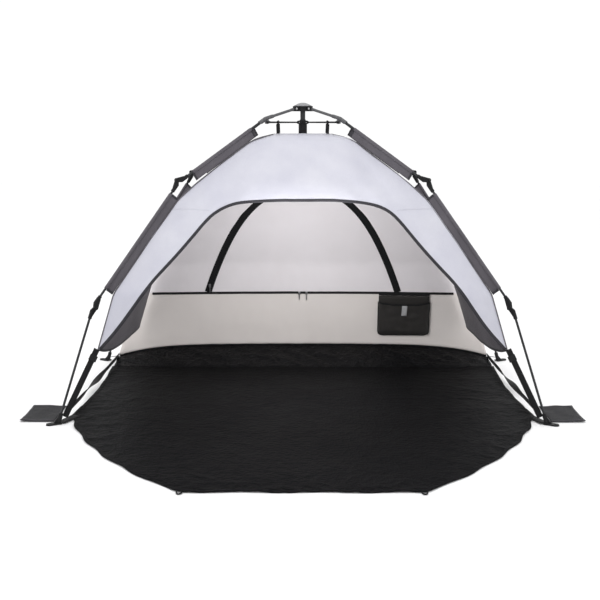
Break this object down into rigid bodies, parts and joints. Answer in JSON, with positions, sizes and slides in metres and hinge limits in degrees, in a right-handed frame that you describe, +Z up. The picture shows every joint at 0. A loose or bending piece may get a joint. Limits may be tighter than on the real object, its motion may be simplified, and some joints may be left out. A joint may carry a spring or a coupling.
{
  "type": "beach shelter",
  "caption": "Open-fronted beach shelter on a folding umbrella frame, with a hooded doorway, rear window zip, wall pocket and a groundsheet that runs out in front.",
  "frame": {"origin": "on the ground, under the hub's axis", "axes": "+X to the right of someone facing the doorway, +Y to the rear, +Z up"},
  "size_m": [2.32, 2.1145, 1.2998],
  "materials": {
    "hub_grey": "fine grain",
    "black_plastic": "fine grain",
    "steel_tube": "satin",
    "pin_metal": "satin",
    "silver_cloth": "silver-coated weave",
    "grey_cloth": "matt weave",
    "pale_cloth": "matt weave",
    "black_sheet": "glossy crinkled film",
    "dark_cloth": "matt weave",
    "webbing": "ribbed weave",
    "mesh": "open mesh",
    "label": "smooth"
  },
  "bodies": {
    "shelter": {"top_hub": "black_plastic", "hub_cap": "hub_grey", "hub_pins": "pin_metal", "post": "steel_tube", "front_hood": "silver_cloth", "side_wall_left": "grey_cloth", "side_wall_right": "grey_cloth", "rear_wall": "pale_cloth", "roof": "silver_cloth", "tub_rear": "black_sheet", "groundsheet": "black_sheet", "pole_fins": "grey_cloth", "sand_flaps": "dark_cloth", "corner_straps": "webbing", "corner_buckles": "black_plastic", "side_straps": "webbing", "hangers": "webbing", "peg_loops": "webbing", "wall_zip_tape": "webbing", "window_zip_tape": "webbing", "pocket": "mesh", "pocket_label": "label"},
    "post_stage": {"post_stage": "steel_tube"},
    "runner": {"runner": "black_plastic", "runner_pins": "pin_metal"},
    "arm_front_left": {"hub_arm_front_left": "black_plastic", "upper_pole_front_left": "steel_tube", "upper_knuckle_front_left": "black_plastic"},
    "middle_front_left": {"middle_pole_front_left": "steel_tube", "middle_pole_ends_front_left": "black_plastic"},
    "lower_front_left": {"lower_pole_front_left": "steel_tube", "lower_pole_ends_front_left": "black_plastic"},
    "strut_front_left": {"strut_front_left": "black_plastic"},
    "arm_front_right": {"hub_arm_front_right": "black_plastic", "upper_pole_front_right": "steel_tube", "upper_knuckle_front_right": "black_plastic"},
    "middle_front_right": {"middle_pole_front_right": "steel_tube", "middle_pole_ends_front_right": "black_plastic"},
    "lower_front_right": {"lower_pole_front_right": "steel_tube", "lower_pole_ends_front_right": "black_plastic"},
    "strut_front_right": {"strut_front_right": "black_plastic"},
    "arm_rear_left": {"hub_arm_rear_left": "black_plastic", "upper_pole_rear_left": "steel_tube", "upper_knuckle_rear_left": "black_plastic"},
    "middle_rear_left": {"middle_pole_rear_left": "steel_tube", "middle_pole_ends_rear_left": "black_plastic"},
    "lower_rear_left": {"lower_pole_rear_left": "steel_tube", "lower_pole_ends_rear_left": "black_plastic"},
    "strut_rear_left": {"strut_rear_left": "black_plastic"},
    "arm_rear_right": {"hub_arm_rear_right": "black_plastic", "upper_pole_rear_right": "steel_tube", "upper_knuckle_rear_right": "black_plastic"},
    "middle_rear_right": {"middle_pole_rear_right": "steel_tube", "middle_pole_ends_rear_right": "black_plastic"},
    "lower_rear_right": {"lower_pole_rear_right": "steel_tube", "lower_pole_ends_rear_right": "black_plastic"},
    "strut_rear_right": {"strut_rear_right": "black_plastic"},
    "wall_zip_slider_left": {"wall_zip_slider_left": "pin_metal"},
    "wall_zip_slider_right": {"wall_zip_slider_right": "pin_metal"},
    "window_zip_slider": {"window_zip_slider": "pin_metal"}
  },
  "joints": [
    {"name": "frame_fold", "type": "hinge", "parent": "shelter", "child": "arm_front_left", "pos_m": [-0.03173, -0.01904, 1.274], "axis": [0.5145, -0.8575, 0], "range_deg": [0, 62.8], "deforming": ["front_hood", "side_wall_left", "side_wall_right", "rear_wall", "roof", "tub_rear", "groundsheet", "pole_fins", "sand_flaps", "corner_straps", "corner_buckles", "side_straps", "hangers", "peg_loops", "wall_zip_tape", "window_zip_tape", "pocket", "pocket_label"]},
    {"name": "upper_knuckle_front_left", "type": "hinge", "parent": "arm_front_left", "child": "middle_front_left", "pos_m": [-0.52736, -0.31642, 0.977], "axis": [-0.5145, 0.8575, 0], "range_deg": [0, 199.27]},
    {"name": "lower_knuckle_front_left", "type": "hinge", "parent": "middle_front_left", "child": "lower_front_left", "pos_m": [-0.84892, -0.50935, 0.467], "axis": [0.5145, -0.8575, 0], "range_deg": [0, 160.81]},
    {"name": "hub_fold_front_right", "type": "hinge", "parent": "shelter", "child": "arm_front_right", "pos_m": [0.03173, -0.01904, 1.274], "axis": [0.5145, 0.8575, 0], "range_deg": [0, 62.82]},
    {"name": "upper_knuckle_front_right", "type": "hinge", "parent": "arm_front_right", "child": "middle_front_right", "pos_m": [0.52736, -0.31642, 0.977], "axis": [-0.5145, -0.8575, 0], "range_deg": [0, 199.27]},
    {"name": "lower_knuckle_front_right", "type": "hinge", "parent": "middle_front_right", "child": "lower_front_right", "pos_m": [0.84892, -0.50935, 0.467], "axis": [0.5145, 0.8575, 0], "range_deg": [0, 160.81]},
    {"name": "hub_fold_rear_left", "type": "hinge", "parent": "shelter", "child": "arm_rear_left", "pos_m": [-0.03173, 0.01904, 1.274], "axis": [-0.5145, -0.8575, 0], "range_deg": [0, 62.82]},
    {"name": "upper_knuckle_rear_left", "type": "hinge", "parent": "arm_rear_left", "child": "middle_rear_left", "pos_m": [-0.52736, 0.31642, 0.977], "axis": [0.5145, 0.8575, 0], "range_deg": [0, 199.27]},
    {"name": "lower_knuckle_rear_left", "type": "hinge", "parent": "middle_rear_left", "child": "lower_rear_left", "pos_m": [-0.84892, 0.50935, 0.467], "axis": [-0.5145, -0.8575, 0], "range_deg": [0, 160.81]},
    {"name": "hub_fold_rear_right", "type": "hinge", "parent": "shelter", "child": "arm_rear_right", "pos_m": [0.03173, 0.01904, 1.274], "axis": [-0.5145, 0.8575, 0], "range_deg": [0, 62.82]},
    {"name": "upper_knuckle_rear_right", "type": "hinge", "parent": "arm_rear_right", "child": "middle_rear_right", "pos_m": [0.52736, 0.31642, 0.977], "axis": [0.5145, -0.8575, 0], "range_deg": [0, 199.27]},
    {"name": "lower_knuckle_rear_right", "type": "hinge", "parent": "middle_rear_right", "child": "lower_rear_right", "pos_m": [0.84892, 0.50935, 0.467], "axis": [-0.5145, 0.8575, 0], "range_deg": [0, 160.81]},
    {"name": "runner_slide", "type": "slide", "parent": "shelter", "child": "runner", "axis": [0, 0, -1], "range_m": [0, 0.25452]},
    {"name": "stage_slide", "type": "slide", "parent": "shelter", "child": "post_stage", "axis": [0, 0, -1], "range_m": [0, 0.12736]},
    {"name": "strut_fold_front_left", "type": "hinge", "parent": "runner", "child": "strut_front_left", "pos_m": [-0.02401, -0.01441, 1.214], "axis": [-0.5145, 0.8575, 0], "range_deg": [0, 81.49]},
    {"name": "strut_fold_front_right", "type": "hinge", "parent": "runner", "child": "strut_front_right", "pos_m": [0.02401, -0.01441, 1.214], "axis": [-0.5145, -0.8575, 0], "range_deg": [0, 81.49]},
    {"name": "strut_fold_rear_left", "type": "hinge", "parent": "runner", "child": "strut_rear_left", "pos_m": [-0.02401, 0.01441, 1.214], "axis": [0.5145, 0.8575, 0], "range_deg": [0, 81.49]},
    {"name": "strut_fold_rear_right", "type": "hinge", "parent": "runner", "child": "strut_rear_right", "pos_m": [0.02401, 0.01441, 1.214], "axis": [0.5145, -0.8575, 0], "range_deg": [0, 81.49]},
    {"name": "wall_zip_run_left", "type": "slide", "parent": "shelter", "child": "wall_zip_slider_left", "axis": [-0.9989, -0.0477, 0], "range_m": [0, 0.7]},
    {"name": "wall_zip_run_right", "type": "slide", "parent": "shelter", "child": "wall_zip_slider_right", "axis": [0.9989, -0.0477, 0], "range_m": [0, 0.7]},
    {"name": "window_zip_run", "type": "slide", "parent": "shelter", "child": "window_zip_slider", "axis": [0.3632, -0.2017, 0.9096], "range_m": [0, 0.14]}
  ],
  "couplings": [
    {"joint": "upper_knuckle_front_left", "follows": "frame_fold", "ratio": 3.1727},
    {"joint": "lower_knuckle_front_left", "follows": "frame_fold", "ratio": 2.5604},
    {"joint": "hub_fold_front_right", "follows": "frame_fold", "ratio": 1},
    {"joint": "upper_knuckle_front_right", "follows": "frame_fold", "ratio": 3.1727},
    {"joint": "lower_knuckle_front_right", "follows": "frame_fold", "ratio": 2.5604},
    {"joint": "hub_fold_rear_left", "follows": "frame_fold", "ratio": 1},
    {"joint": "upper_knuckle_rear_left", "follows": "frame_fold", "ratio": 3.1727},
    {"joint": "lower_knuckle_rear_left", "follows": "frame_fold", "ratio": 2.5604},
    {"joint": "hub_fold_rear_right", "follows": "frame_fold", "ratio": 1},
    {"joint": "upper_knuckle_rear_right", "follows": "frame_fold", "ratio": 3.1727},
    {"joint": "lower_knuckle_rear_right", "follows": "frame_fold", "ratio": 2.5604},
    {"joint": "runner_slide", "follows": "frame_fold", "m_per_rad": 0.23203},
    {"joint": "stage_slide", "follows": "frame_fold", "m_per_rad": 0.11602},
    {"joint": "strut_fold_front_left", "follows": "frame_fold", "ratio": 1.2973},
    {"joint": "strut_fold_front_right", "follows": "frame_fold", "ratio": 1.2973},
    {"joint": "strut_fold_rear_left", "follows": "frame_fold", "ratio": 1.2973},
    {"joint": "strut_fold_rear_right", "follows": "frame_fold", "ratio": 1.2973}
  ]
}
